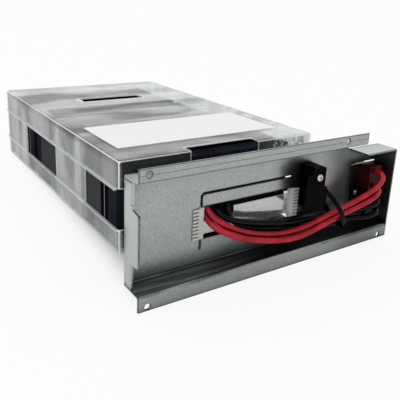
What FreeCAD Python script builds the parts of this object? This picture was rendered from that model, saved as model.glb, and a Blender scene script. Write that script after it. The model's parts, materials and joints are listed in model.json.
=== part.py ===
import FreeCAD
import Part
import Sketcher
import math
import os
import re

# Slide-in battery cartridge of an uninterruptible power supply.
#
# A folded galvanised front frame carries a pack of six sealed 12 V blocks, held between two thin
# thermoformed half shells. Four output leads leave the pack through a window in the frame, loop to
# the right under a moulded cable holder, and end in a red and a black power connector in a bay.
#
# Millimetres, +Z up, -Y to the front. The origin lies midway between the two lower screw holes, on
# the front face of the flange. Sizes are measured from the left end of the frame, from the front
# face of its flanges and from the top of its lower ledge, and every piece is shifted by the same
# amount to bring the origin to the screw holes.

doc = FreeCAD.newDocument("battery_cartridge")
sizes = doc.addObject("Spreadsheet::Sheet", "Sizes")

DRIVING_SIZES = [
    # folded front frame
    ("gauge", 1.5, "thickness of the galvanised sheet"),
    ("bend_inside", 1.0, "inside radius of its bends"),
    ("frame_width", 299.4, "left end to right end"),
    ("frame_depth", 24.6, "flange face to back of panel"),
    ("ledge_gap", 93.4, "clear height between the two ledges"),
    ("upper_flange", 10.6, "upper flange above its ledge"),
    ("lower_flange", 14.2, "lower flange below its ledge"),
    ("upper_stop", 47.4, "right end of the upper ledge and flange, from the right end of the frame"),
    ("roof_length", 44.8, "length of the low roof over the connectors"),
    ("roof_height", 83.2, "top of that roof"),
    ("strip_set_back", 12.5, "front of the narrow stretches of the left strip"),
    ("strip_low", 24.0, "lower end of its full-depth stretch"),
    ("strip_high", 68.0, "upper end of its full-depth stretch"),
    ("strip_slope", 3.5, "rise of its sloping end"),
    ("strip_top", 91.0, "top of the left strip"),
    ("screw_hole", 5.5, "clearance hole for an M5 screw"),
    ("upper_hole_left", 8.7, "left upper screw hole"),
    ("upper_hole_inset", 29.1, "right upper screw hole, from the end of its flange"),
    ("upper_hole_rise", 7.1, "upper holes above the underside of the upper ledge"),
    ("lower_hole_left", 8.4, "left lower screw hole"),
    ("lower_hole_inset", 12.3, "right lower screw hole, from the right end"),
    ("lower_hole_drop", 10.4, "lower holes below the lower ledge"),
    ("relief_hole", 2.4, "corner relief holes beside the roof and the wall"),
    # cable window
    ("window_left", 73.1, "left edge of the cable window"),
    ("window_width", 102.9, "width of the window"),
    ("window_low", 23.7, "lower edge of the window"),
    ("window_height", 30.5, "height of the window"),
    ("slot_width", 1.8, "relief slots that free the tongues of the panel"),
    ("tongue", 11.0, "band between the window and the upper relief slot"),
    ("slot_foot", 9.4, "relief slot below the window"),
    ("slot_chamfer", 2.5, "chamfered corner of the relief slot"),
    ("lip_depth", 14.0, "support lip folded back under the pack"),
    ("lip_side_gap", 2.0, "lip short of the window's sides"),
    # connector bay
    ("bay_inset", 41.0, "left edge of the connector bay's relief slot, from the right end"),
    ("bay_width", 38.4, "width of the bay"),
    ("bay_low", 12.0, "foot of its relief slot"),
    ("bay_high", 66.6, "top of its relief slot"),
    # power connectors
    ("plug_inset", 27.4, "left face of the connector housings, from the right end"),
    ("plug_width", 17.0, "housing width"),
    ("plug_height", 26.0, "housing height"),
    ("plug_front", 8.0, "front face of the housings"),
    ("plug_low", 12.6, "bottom of the black housing"),
    ("plug_gap", 0.4, "gap between the two housings"),
    ("plug_reach", 17.0, "mating nose behind the panel"),
    ("plug_wall", 2.0, "housing wall round the mating nose"),
    ("nose_inset", 1.8, "nose smaller than the housing, all round"),
    ("ear_width", 9.0, "screw ear of the black housing"),
    ("ear_height", 9.0, "height of the ear"),
    ("ear_gauge", 2.5, "thickness of the ear"),
    ("contact_width", 8.0, "contact blade width"),
    ("contact_gauge", 2.0, "contact blade thickness"),
    ("contact_reach", 13.0, "contact blade length"),
    ("small_screw", 3.0, "connector screw shank"),
    ("clearance", 0.25, "working clearance between pieces"),
    # cable holder
    ("holder_left", 178.6, "left side of the cable holder at its foot"),
    ("holder_width", 22.2, "width of the holder"),
    ("side_taper", 11.0, "the holder is narrower at the panel, on its left side"),
    ("foot_taper", 3.6, "and narrower at its foot"),
    ("holder_low", 32.6, "bottom of the holder"),
    ("holder_high", 70.9, "top of its body"),
    ("holder_front", 3.4, "front face of the holder"),
    ("holder_wall", 2.2, "wall of the holder"),
    ("ear_left", 184.0, "left side of the holder's screw ear"),
    ("ear_rise", 6.6, "screw ear above the body"),
    ("eye_reach", 9.0, "strap eye to the right of the body"),
    ("eye_low", 36.0, "bottom of the strap eye"),
    ("eye_high", 55.0, "top of the strap eye"),
    ("holder_screw_x", 191.7, "screw of the cable holder"),
    ("holder_screw_z", 68.2, "screw height"),
    ("holder_shank", 4.0, "M4 shank"),
    ("screw_head", 7.2, "pan head diameter"),
    ("screw_head_height", 2.6, "pan head height"),
    # edge strips
    ("edging_wall", 1.3, "thickness of the window edge strips"),
    ("edging_reach", 9.5, "edge strip legs over the panel"),
    ("edging_pitch", 3.3, "pitch of the teeth"),
    ("edging_tooth", 2.0, "width of a tooth"),
    ("edging_spine", 3.6, "plain part of the leg beside the spine"),
    ("strip_play", 0.3, "edge strips short of the window's corners"),
    # leads
    ("lead_diameter", 5.7, "insulated output lead"),
    ("link_diameter", 4.5, "insulated lead between two blocks"),
    ("strap_width", 4.6, "cable tie width"),
    ("strap_gauge", 1.4, "cable tie thickness"),
    ("strap_across", 27.0, "strap loop across, front to back"),
    ("strap_ahead", 14.268, "its top ahead of the panel's back face"),
    ("strap_lean", 27.0, "its foot to the right of its top"),
    ("strap_drop", 42.5, "its foot below its top"),
    # blocks
    ("block_length", 90.0, "battery block, along X"),
    ("block_width", 70.0, "battery block, upright"),
    ("block_body", 101.0, "battery block without its tabs, along Y"),
    ("lid_depth", 14.0, "lid of a block"),
    ("lid_recess", 1.2, "recess in the lid's face"),
    ("tab_length", 6.0, "terminal tab"),
    ("tab_width", 6.35, "terminal tab width"),
    ("tab_gauge", 0.8, "terminal tab thickness"),
    ("tab_spacing", 62.0, "between the two tabs of a block"),
    ("tab_rise", 13.0, "tabs above the middle of the block"),
    ("receptacle_width", 13.0, "insulated receptacle on a tab"),
    ("receptacle_low", 66.0, "foot of the receptacles"),
    ("receptacle_height", 16.0, "height of a receptacle"),
    ("block_gap", 0.2, "between the two columns of blocks"),
    ("row_gap", 0.8, "between the facing tabs of the second and third rows"),
    ("block_corner", 2.0, "corner radius of a block"),
    # shells
    ("pack_left", -4.6, "left side of the pack"),
    ("pack_width", 205.4, "pack width"),
    ("pack_gap", 1.4, "front of the pack behind the panel"),
    ("pack_length", 325.2, "pack length"),
    ("pack_low", 26.3, "underside of the pack"),
    ("pack_high", 105.0, "top of the pack"),
    ("shell_wall", 1.0, "wall of the thermoformed shells"),
    ("shell_draft", 0.5, "draft of the shell walls from rim to floor"),
    ("shell_corner", 4.0, "corner radius of the shells"),
    ("shell_edge", 2.5, "radius along the top edge"),
    ("lower_rim", 47.3, "rim of the lower shell"),
    ("upper_rim", 80.0, "rim of the upper shell"),
    ("front_rim", 82.0, "rim of the upper shell's front"),
    ("lip_reach", 1.2, "outward lip of the rims"),
    ("lip_gauge", 1.2, "thickness of the lips"),
    ("pillar_front", 94.0, "front of the middle pillar"),
    ("pillar_back", 170.5, "back of the middle pillar"),
    ("rear_pillar", 268.0, "front of the rear pillar"),
    ("corner_pillar", 178.0, "left side of the front right pillar"),
    ("notch_left", 62.0, "left end of the recess in the front top edge"),
    ("notch_right", 134.0, "right end of that recess"),
    ("notch_depth", 12.5, "depth of that recess"),
    ("notch_low", 92.0, "bottom of that recess"),
    ("grip_left", 56.0, "left end of the hand slot"),
    ("grip_right", 132.0, "right end of the hand slot"),
    ("grip_front", 250.0, "front edge of the hand slot"),
    ("grip_width", 13.0, "hand slot front to back"),
    ("grip_rim", 1.6, "raised rim round the hand slot"),
    ("lead_notch_left", 70.0, "notch for the leads in the lower shell"),
    ("lead_notch_right", 110.0, "right end of that notch"),
    ("lead_notch_low", 38.0, "bottom of that notch"),
    ("label_left", 10.2, "left edge of the top label"),
    ("label_width", 170.6, "label width"),
    ("label_front", 58.0, "front edge of the label"),
    ("label_depth", 75.0, "label front to back"),
    ("label_gauge", 0.3, "label thickness"),
    ("tape_width", 12.0, "foam tape width"),
]
for row, (alias, value, meaning) in enumerate(DRIVING_SIZES, start=1):
    sizes.set("A%d" % row, meaning)
    sizes.set("B%d" % row, str(value))
    sizes.setAlias("B%d" % row, alias)
doc.recompute()


# ---- small helpers -------------------------------------------------------------------------

def bound(expression):
    """The expression with every size name read from the sheet."""
    return re.sub(r"\b(?!atan\b)[a-z][a-z_]*", lambda name: "Sizes." + name.group(0), str(expression))


def number(expression):
    """The present value of an expression of the sheet's names."""
    return float(sizes.evalExpression(bound(expression)))


SHIFT_X = "-(lower_hole_left + frame_width - lower_hole_inset) / 2"
SHIFT_Z = "lower_hole_drop"


def bring_to_origin(thing):
    """Shift a piece so that the origin lies between the lower screw holes."""
    thing.setExpression("Placement.Base.x", bound(SHIFT_X))
    thing.setExpression("Placement.Base.z", bound(SHIFT_Z))


def new_body(label):
    """An empty body named for its piece."""
    body = doc.addObject("PartDesign::Body", label)
    body.Label = label
    bring_to_origin(body)
    return body


def sketch_on(body, name, plane, height="0"):
    """A sketch on an origin plane: XY seen from above, XZ from the front, YZ from the right."""
    sketch = body.newObject("Sketcher::SketchObject", name)
    role = plane + "_Plane"
    sketch.AttachmentSupport = [(f, "") for f in body.Origin.OriginFeatures if f.Role == role]
    sketch.MapMode = "FlatFace"
    sign = "-" if plane == "XZ" else ""
    sketch.setExpression("AttachmentOffset.Base.z", bound("%s(%s)" % (sign, height)))
    return sketch


def pin_point(sketch, element, position, name, across, up):
    """Tie one point of a sketch to two expressions."""
    for axis, expression in (("X", across), ("Y", up)):
        constraint = Sketcher.Constraint("Distance" + axis, -1, 1, element, position, number(expression))
        index = sketch.addConstraint(constraint)
        sketch.renameConstraint(index, "%s%s" % (name, axis))
        sketch.setExpression("Constraints.%s%s" % (name, axis), bound(expression))


def outline(sketch, corners):
    """A closed outline through corners given as pairs of expressions."""
    first = sketch.GeometryCount
    places = [FreeCAD.Vector(number(a), number(b), 0) for a, b in corners]
    for here, there in zip(places, places[1:] + places[:1]):
        sketch.addGeometry(Part.LineSegment(here, there), False)
    last = first + len(corners) - 1
    for element in range(first, last + 1):
        following = first if element == last else element + 1
        sketch.addConstraint(Sketcher.Constraint("Coincident", element, 2, following, 1))
    for element, (across, up) in enumerate(corners, start=first):
        pin_point(sketch, element, 1, "p%d" % element, across, up)


def rectangle(sketch, left, low, right, high):
    """A closed rectangle between two corners given as expressions."""
    outline(sketch, [(left, low), (right, low), (right, high), (left, high)])


def hole(sketch, across, up, diameter):
    """A circle of a bound diameter."""
    centre = FreeCAD.Vector(number(across), number(up), 0)
    index = sketch.addGeometry(Part.Circle(centre, FreeCAD.Vector(0, 0, 1), number(diameter) / 2), False)
    pin_point(sketch, index, 3, "c%d" % index, across, up)
    at = sketch.addConstraint(Sketcher.Constraint("Diameter", index, number(diameter)))
    sketch.renameConstraint(at, "d%d" % index)
    sketch.setExpression("Constraints.d%d" % index, bound(diameter))


def pad(body, sketch, length, towards_back=False):
    """Grow a sketch into solid. One seen from the front grows forward unless told otherwise."""
    feature = body.newObject("PartDesign::Pad", sketch.Name + "_pad")
    feature.Profile = sketch
    feature.setExpression("Length", bound(length))
    feature.Reversed = towards_back
    sketch.Visibility = False
    doc.recompute()
    return feature


def pocket(body, sketch, depth=None, reversed_cut=False):
    """Cut a sketch away, right through both ways unless a depth is given."""
    feature = body.newObject("PartDesign::Pocket", sketch.Name + "_pocket")
    feature.Profile = sketch
    if depth is None:
        feature.Type = "ThroughAll"
        feature.Midplane = True
    else:
        feature.setExpression("Length", bound(depth))
        feature.Reversed = reversed_cut
    doc.recompute()
    return feature


def round_edges(body, name, radius, chosen):
    """Fillet the edges of the last feature that a test picks out."""
    base = body.Tip
    names = []
    for index, edge in enumerate(base.Shape.Edges, start=1):
        if chosen(edge):
            names.append("Edge%d" % index)
    feature = body.newObject("PartDesign::Fillet", name)
    feature.Base = (base, names)
    feature.setExpression("Radius", bound(radius))
    doc.recompute()
    return feature


def along(edge, axis):
    """True for a straight edge along an axis, 0 to 2."""
    if not isinstance(edge.Curve, Part.Line):
        return False
    return abs(abs(edge.Curve.Direction[axis]) - 1) < 1e-6


def near(edge, axis, expression):
    """True where the middle of an edge lies at a coordinate."""
    return abs(edge.CenterOfMass[axis] - number(expression)) < 0.01


def solid_feature(label, shape):
    """A piece whose shape is worked out here from the sheet's sizes."""
    feature = doc.addObject("Part::Feature", label)
    feature.Label = label
    feature.Shape = shape
    bring_to_origin(feature)
    return feature


def block(x, y, z, dx, dy, dz):
    """A box from its low corner and its three sizes, in expressions."""
    low = FreeCAD.Vector(number(x), number(y), number(z))
    return Part.makeBox(number(dx), number(dy), number(dz), low)


pieces = []


# ---- folded front frame --------------------------------------------------------------------
# One sheet: lower flange, lower ledge, panel, upper ledge and upper flange share one section.

frame = new_body("front_frame")
section = sketch_on(frame, "frame_section", "YZ")
outline(section, [
    ("0", "-lower_flange"),
    ("gauge", "-lower_flange"),
    ("gauge", "-gauge"),
    ("frame_depth", "-gauge"),
    ("frame_depth", "ledge_gap + gauge"),
    ("gauge", "ledge_gap + gauge"),
    ("gauge", "ledge_gap + gauge + upper_flange"),
    ("0", "ledge_gap + gauge + upper_flange"),
    ("0", "ledge_gap"),
    ("frame_depth - gauge", "ledge_gap"),
    ("frame_depth - gauge", "0"),
    ("0", "0"),
])
pad(frame, section, "frame_width")

OUTSIDE_BENDS = [("0", "0"), ("frame_depth", "-gauge"),
                 ("frame_depth", "ledge_gap + gauge"), ("0", "ledge_gap")]
INSIDE_BENDS = [("gauge", "-gauge"), ("frame_depth - gauge", "0"),
                ("frame_depth - gauge", "ledge_gap"), ("gauge", "ledge_gap + gauge")]


def at_one_of(places):
    """A test that picks the long edges lying at any of the given (Y, Z) places."""
    def chosen(edge):
        return along(edge, 0) and any(near(edge, 1, y) and near(edge, 2, z) for y, z in places)
    return chosen


round_edges(frame, "inside_bends", "bend_inside", at_one_of(INSIDE_BENDS))
round_edges(frame, "outside_bends", "bend_inside + gauge", at_one_of(OUTSIDE_BENDS))

# Right of the upper ledge the sheet is lower: a roof over the connectors, closed by an end wall.
step = sketch_on(frame, "low_end", "XZ")
rectangle(step, "frame_width - upper_stop", "roof_height", "frame_width + gauge",
          "ledge_gap + upper_flange + 10 * gauge")
pocket(frame, step)
roof = sketch_on(frame, "roof", "XY", "roof_height - gauge")
rectangle(roof, "frame_width - roof_length", "0", "frame_width", "frame_depth")
pad(frame, roof, "gauge")
wall = sketch_on(frame, "end_wall", "YZ", "frame_width - gauge")
rectangle(wall, "0", "-gauge", "frame_depth", "roof_height")
pad(frame, wall, "gauge")

# The left strip is the panel's edge folded forward, full depth only in the middle.
strip = sketch_on(frame, "left_strip", "YZ")
outline(strip, [
    ("frame_depth", "-gauge"),
    ("strip_set_back", "-gauge"),
    ("strip_set_back", "strip_low - gauge"),
    ("0", "strip_low"),
    ("0", "strip_high"),
    ("strip_set_back - gauge", "strip_high + strip_slope - gauge"),
    ("strip_set_back - gauge", "strip_high + strip_slope + gauge"),
    ("strip_set_back", "strip_high + strip_slope + gauge"),
    ("strip_set_back", "strip_top"),
    ("frame_depth", "strip_top"),
])
pad(frame, strip, "gauge")

# The window's relief slot runs up its left side and over the top, so that the band is a tongue.
WINDOW_RIGHT = "window_left + window_width"
WINDOW_HIGH = "window_low + window_height"
window = sketch_on(frame, "cable_window", "XZ")
outline(window, [
    ("window_left - slot_width", "window_low - slot_foot"),
    ("window_left", "window_low - slot_foot"),
    ("window_left", "window_low"),
    (WINDOW_RIGHT, "window_low"),
    (WINDOW_RIGHT, WINDOW_HIGH),
    ("window_left", WINDOW_HIGH),
    ("window_left", WINDOW_HIGH + " + tongue - slot_chamfer + slot_width / 2"),
    ("window_left + slot_chamfer - slot_width / 2", WINDOW_HIGH + " + tongue"),
    (WINDOW_RIGHT, WINDOW_HIGH + " + tongue"),
    (WINDOW_RIGHT, WINDOW_HIGH + " + tongue + slot_width"),
    ("window_left + slot_chamfer - slot_width", WINDOW_HIGH + " + tongue + slot_width"),
    ("window_left - slot_width", WINDOW_HIGH + " + tongue - slot_chamfer + slot_width"),
])
pocket(frame, window)

# The lip under the pack is the metal of the window, folded back.
lip = sketch_on(frame, "support_lip", "XY", "window_low - gauge")
rectangle(lip, "window_left + lip_side_gap", "frame_depth - gauge",
          WINDOW_RIGHT + " - lip_side_gap", "frame_depth + lip_depth")
pad(frame, lip, "gauge")

# Connector bay: a relief slot up the left side and over the top, and a cut-out for each nose.
BAY_RIGHT = "frame_width - bay_inset + bay_width"
bay = sketch_on(frame, "bay_slot", "XZ")
outline(bay, [
    ("frame_width - bay_inset", "bay_low"),
    ("frame_width - bay_inset + slot_width", "bay_low"),
    ("frame_width - bay_inset + slot_width", "bay_high - slot_width"),
    (BAY_RIGHT, "bay_high - slot_width"),
    (BAY_RIGHT, "bay_high"),
    ("frame_width - bay_inset", "bay_high"),
])
pocket(frame, bay)

NOSE_LEFT = "frame_width - plug_inset + nose_inset"
NOSE_RIGHT = "frame_width - plug_inset + plug_width - nose_inset"
RED_LOW = "plug_low + plug_height + plug_gap"
cutouts = sketch_on(frame, "nose_cutouts", "XZ")
for low in ("plug_low", RED_LOW):
    rectangle(cutouts, NOSE_LEFT + " - clearance", low + " + nose_inset - clearance",
              NOSE_RIGHT + " + clearance", low + " + plug_height - nose_inset + clearance")
pocket(frame, cutouts)

# Screw holes in the flanges, the shanks of the two small screws, and the corner relief holes.
EAR_X = "frame_width - plug_inset - ear_width / 2"
EAR_Z = "plug_low + plug_height - ear_height / 2"
holes = sketch_on(frame, "screw_holes", "XZ")
UPPER_HOLE_Z = "ledge_gap + upper_hole_rise"
hole(holes, "upper_hole_left", UPPER_HOLE_Z, "screw_hole")
hole(holes, "frame_width - upper_stop - upper_hole_inset", UPPER_HOLE_Z, "screw_hole")
hole(holes, "lower_hole_left", "-lower_hole_drop", "screw_hole")
hole(holes, "frame_width - lower_hole_inset", "-lower_hole_drop", "screw_hole")
hole(holes, "holder_screw_x", "holder_screw_z", "holder_shank + 2 * clearance")
hole(holes, EAR_X, EAR_Z, "small_screw + 2 * clearance")
hole(holes, "frame_width - plug_inset + 3", "roof_height - 8.7", "relief_hole")
pocket(frame, holes)
reliefs = sketch_on(frame, "ledge_relief", "XY")
hole(reliefs, "frame_width - gauge", "frame_depth - 2 * gauge", "relief_hole")
pocket(frame, reliefs, "2 * gauge")
pieces.append(frame)


# ---- window edge strips --------------------------------------------------------------------
# Moulded U channels pushed on the window's sides: a spine round the edge, toothed legs both sides.

STRIP_FOOT = "window_low + clearance + strip_play"


def edging(label, spine_x, outward):
    """A U channel with teeth on one side of the window; outward is -1 at the left, +1 at the right."""
    body = new_body(label)
    front = "frame_depth - gauge"
    channel = sketch_on(body, "channel", "XY", STRIP_FOOT)
    inner = "%s - (%s) * edging_wall" % (spine_x, outward)
    tip = "%s + (%s) * edging_spine" % (spine_x, outward)
    outline(channel, [
        (inner, front + " - edging_wall"),
        (tip, front + " - edging_wall"),
        (tip, front),
        (spine_x, front),
        (spine_x, "frame_depth"),
        (tip, "frame_depth"),
        (tip, "frame_depth + edging_wall"),
        (inner, "frame_depth + edging_wall"),
    ])
    pad(body, channel, "window_height - 2 * clearance - 2 * strip_play")
    tooth = sketch_on(body, "tooth", "XZ", front)
    near_side = "%s + (%s) * edging_spine" % (spine_x, outward)
    far_side = "%s + (%s) * edging_reach" % (spine_x, outward)
    left, right = (far_side, near_side) if outward < 0 else (near_side, far_side)
    rectangle(tooth, left, STRIP_FOOT, right, STRIP_FOOT + " + edging_tooth")
    first = pad(body, tooth, "edging_wall")
    pattern = body.newObject("PartDesign::LinearPattern", "teeth")
    pattern.Originals = [first]
    pattern.Direction = (tooth, ["V_Axis"])
    pattern.Mode = "Spacing"
    pattern.setExpression("Offset", bound("edging_pitch"))
    pattern.Occurrences = int(number("window_height - edging_tooth - 1") // number("edging_pitch")) + 1
    body.Tip = pattern
    doc.recompute()
    return body


pieces.append(edging("grommet_left", "window_left", -1))
pieces.append(edging("grommet_right", "(" + WINDOW_RIGHT + ")", 1))


# ---- thermoformed shells -------------------------------------------------------------------
# Two thin half shells: a drafted tray below, and a cover above whose sides are open between rims.

PACK_RIGHT = "pack_left + pack_width"
PACK_BACK = "frame_depth + pack_gap + pack_length"


def rounded(sketch, left, low, right, high, radius):
    """A closed rectangle with round corners."""
    first = sketch.GeometryCount
    ends = [
        ("%s + (%s)" % (left, radius), low, "%s - (%s)" % (right, radius), low),
        (right, "%s + (%s)" % (low, radius), right, "%s - (%s)" % (high, radius)),
        ("%s - (%s)" % (right, radius), high, "%s + (%s)" % (left, radius), high),
        (left, "%s - (%s)" % (high, radius), left, "%s + (%s)" % (low, radius)),
    ]
    for ax, ay, bx, by in ends:
        here = FreeCAD.Vector(number(ax), number(ay), 0)
        there = FreeCAD.Vector(number(bx), number(by), 0)
        sketch.addGeometry(Part.LineSegment(here, there), False)
    turn = number(radius)
    for corner, (ax, ay, bx, by) in enumerate(ends):
        quarter = math.pi / 2
        inward = FreeCAD.Vector(-math.sin(corner * quarter), math.cos(corner * quarter), 0)
        centre = FreeCAD.Vector(number(bx), number(by), 0) + inward * turn
        circle = Part.Circle(centre, FreeCAD.Vector(0, 0, 1), turn)
        start = (corner - 1) * quarter
        arc = sketch.addGeometry(Part.ArcOfCircle(circle, start, start + quarter), False)
        following = first + (corner + 1) % 4
        sketch.addConstraint(Sketcher.Constraint("Coincident", arc, 1, first + corner, 2))
        sketch.addConstraint(Sketcher.Constraint("Coincident", arc, 2, following, 1))
        at = sketch.addConstraint(Sketcher.Constraint("Radius", arc, turn))
        sketch.renameConstraint(at, "r%d" % arc)
        sketch.setExpression("Constraints.r%d" % arc, bound(radius))
    for corner, (ax, ay, bx, by) in enumerate(ends, start=first):
        pin_point(sketch, corner, 1, "a%d" % corner, ax, ay)
        pin_point(sketch, corner, 2, "b%d" % corner, bx, by)


def pack_outline(sketch, inset):
    """The pack's rounded outline, inset by an expression that may be negative."""
    rounded(sketch, "pack_left + (%s)" % inset, "frame_depth + pack_gap + (%s)" % inset,
            PACK_RIGHT + " - (%s)" % inset, PACK_BACK + " - (%s)" % inset, "shell_corner - (%s)" % inset)


def hollow_out(body, name, open_height, depth, upwards=False):
    """Cut out the inside of a shell from its open side, leaving one wall thickness."""
    inside = sketch_on(body, name, "XY", open_height)
    pack_outline(inside, "shell_wall")
    return pocket(body, inside, depth, upwards)


def rim_band(body, name, height, thickness):
    """A lip that runs round the pack at one height, but not over its front, where the panel is."""
    ring = sketch_on(body, name, "XY", height)
    rounded(ring, "pack_left - lip_reach", "frame_depth + pack_gap + shell_wall / 2",
            PACK_RIGHT + " + lip_reach",
            PACK_BACK + " + lip_reach", "shell_corner + lip_reach")
    pack_outline(ring, "shell_wall")
    return pad(body, ring, thickness)


DRAFT = "-atan(shell_draft / (lower_rim - pack_low))"
lower = new_body("lower_shell")
tray = sketch_on(lower, "tray", "XY", "lower_rim")
pack_outline(tray, "0")
tray_pad = pad(lower, tray, "lower_rim - pack_low", True)
tray_pad.setExpression("TaperAngle", bound(DRAFT))
doc.recompute()
inside = hollow_out(lower, "tray_inside", "lower_rim", "lower_rim - pack_low - shell_wall")
inside.setExpression("TaperAngle", bound(DRAFT))
doc.recompute()
rim_band(lower, "tray_lip", "lower_rim - lip_gauge", "lip_gauge")
lead_notch = sketch_on(lower, "lead_notch", "XZ", "frame_depth + pack_gap - 2 * lip_reach")
rectangle(lead_notch, "lead_notch_left", "lead_notch_low", "lead_notch_right", "lower_rim + shell_wall")
pocket(lower, lead_notch, "2 * lip_reach + 3 * shell_wall")
pieces.append(lower)

upper = new_body("upper_shell")
cover = sketch_on(upper, "cover", "XY", "lower_rim")
pack_outline(cover, "0")
pad(upper, cover, "pack_high - lower_rim")
round_edges(upper, "cover_edge", "shell_edge",
            lambda edge: all(abs(v.Point.z - number("pack_high")) < 0.01 for v in edge.Vertexes))
hollow_out(upper, "cover_inside", "lower_rim", "pack_high - shell_wall - lower_rim", True)
rim_band(upper, "cover_lip", "upper_rim", "lip_gauge")
rim_band(upper, "seam_lip", "lower_rim", "lip_gauge")

OUT = " - 3 * lip_reach"
SEAM = "lower_rim - lip_gauge"
INBOARD = "2 * shell_corner"
for side, plane, front_end in (("left", "pack_left + " + INBOARD, "frame_depth + pack_gap" + OUT),
                               ("right", PACK_RIGHT + " - " + INBOARD,
                                "frame_depth + pack_gap + 3 * shell_corner")):
    openings = sketch_on(upper, side + "_windows", "YZ", plane)
    rectangle(openings, front_end, SEAM, "pillar_front", "upper_rim")
    rectangle(openings, "pillar_back", SEAM, "rear_pillar", "upper_rim")
    pocket(upper, openings, "4 * shell_corner", side == "right")
front_window = sketch_on(upper, "front_window", "XZ", "frame_depth + pack_gap + shell_corner + 1")
rectangle(front_window, "pack_left" + OUT, SEAM, "corner_pillar", "front_rim")
pocket(upper, front_window, "4 * shell_corner", True)
rear_window = sketch_on(upper, "rear_window", "XZ", PACK_BACK + " - shell_corner")
rectangle(rear_window, "pack_left + 2 * shell_corner", SEAM,
          PACK_RIGHT + " - 2 * shell_corner", "upper_rim")
pocket(upper, rear_window, "4 * shell_corner")
grip_rim = sketch_on(upper, "grip_rim", "XY", "pack_high")
rectangle(grip_rim, "grip_left - grip_rim", "grip_front - grip_rim",
          "grip_right + grip_rim", "grip_front + grip_width + grip_rim")
pad(upper, grip_rim, "grip_rim / 2")
openings = sketch_on(upper, "hand_slot", "XY", "pack_high + grip_rim")
rectangle(openings, "grip_left", "grip_front", "grip_right", "grip_front + grip_width")
pocket(upper, openings, "grip_rim + 4 * shell_wall")
notch = sketch_on(upper, "front_recess", "XY", "pack_high + grip_rim")
rectangle(notch, "notch_left", "frame_depth + pack_gap - 1",
          "notch_right", "frame_depth + pack_gap + notch_depth")
pocket(upper, notch, "pack_high + grip_rim - notch_low")
pieces.append(upper)


# ---- battery blocks ------------------------------------------------------------------------
# Two columns of three, on their sides. The second row is turned to face the third.

BLOCK_LOW = "pack_low + shell_wall"
BLOCK_LEFT = "pack_left + shell_draft + shell_wall + clearance"
ROW_START = "frame_depth + pack_gap + shell_draft + shell_wall + clearance"
BLOCK_DEEP = "(block_body + tab_length)"


TAB_LEVEL = BLOCK_LOW + " + block_width / 2 + tab_rise"


def closed_end(case_y, faces_back):
    """A test for the long edges of a case and for those of the end away from its lid."""
    end = case_y if faces_back else case_y + " + block_body - lid_depth"
    return lambda edge: along(edge, 1) or near(edge, 1, end)


def battery(index, column, row):
    """One block: case, lid and two tabs, its lid to the front, or to the back in the second row."""
    left = "%s + %d * (block_length + block_gap)" % (BLOCK_LEFT, column)
    start = "%s + %d * %s + %d * row_gap" % (ROW_START, row, BLOCK_DEEP, row // 2)
    faces_back = row == 1
    if faces_back:
        case_y = start
        lid_y = start + " + block_body - lid_depth"
        face_y = start + " + block_body"
        tab_y = face_y
    else:
        lid_y = start + " + tab_length"
        case_y = lid_y + " + lid_depth"
        face_y = lid_y
        tab_y = start

    case = new_body("battery_%d_case" % index)
    case_side = sketch_on(case, "case_side", "XY", BLOCK_LOW)
    rectangle(case_side, left, case_y, left + " + block_length", case_y + " + block_body - lid_depth")
    pad(case, case_side, "block_width")
    round_edges(case, "case_corners", "block_corner", closed_end(case_y, faces_back))
    pieces.append(case)

    lid = new_body("battery_%d_lid" % index)
    lid_side = sketch_on(lid, "lid_side", "XY", BLOCK_LOW)
    rectangle(lid_side, left, lid_y, left + " + block_length", lid_y + " + lid_depth")
    pad(lid, lid_side, "block_width")
    round_edges(lid, "lid_corners", "block_corner", lambda edge: along(edge, 1))
    recess = sketch_on(lid, "vent_recess", "XZ", face_y)
    rectangle(recess, left + " + block_width / 6", BLOCK_LOW + " + block_width / 8",
              left + " + block_length - block_width / 6", BLOCK_LOW + " + block_width / 2")
    pocket(lid, recess, "lid_recess", faces_back)
    pieces.append(lid)

    tabs = []
    for side in (-1, 1):
        x = "%s + block_length / 2 + (%d) * tab_spacing / 2 - tab_width / 2" % (left, side)
        tabs.append(block(x, tab_y, TAB_LEVEL + " - tab_gauge / 2", "tab_width", "tab_length", "tab_gauge"))
    pieces.append(solid_feature("battery_%d_terminals" % index, Part.makeCompound(tabs)))


for row in range(3):
    for column in range(2):
        battery(2 * row + column + 1, column, row)


# ---- top label and foam tape ---------------------------------------------------------------

label = new_body("top_label")
label_outline = sketch_on(label, "label_outline", "XY", "pack_high")
rectangle(label_outline, "label_left", "label_front", "label_left + label_width", "label_front + label_depth")
pad(label, label_outline, "label_gauge")
pieces.append(label)

# Foam tape holds the front of the pack to the panel and to the support lip.
TAPE_GAP = "pack_gap"
tape_strips = [
    block("pack_left + shell_corner + 3", "frame_depth", "upper_rim + lip_gauge + 3",
          "4 * tape_width", TAPE_GAP, "ledge_gap - upper_rim - lip_gauge - 4"),
    block("notch_right + tape_width", "frame_depth", "upper_rim + lip_gauge + 3",
          "3 * tape_width", TAPE_GAP, "ledge_gap - upper_rim - lip_gauge - 4"),
    block("window_left + 2 * tape_width", "frame_depth", "window_low",
          "window_width - 4 * tape_width", "lip_depth - gauge", "pack_low - window_low"),
]
pieces.append(solid_feature("foam_tape", Part.makeCompound(tape_strips)))


# ---- cable holder --------------------------------------------------------------------------
# A moulded hollow block screwed to the panel from the front, with an eye for the cable tie.

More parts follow.
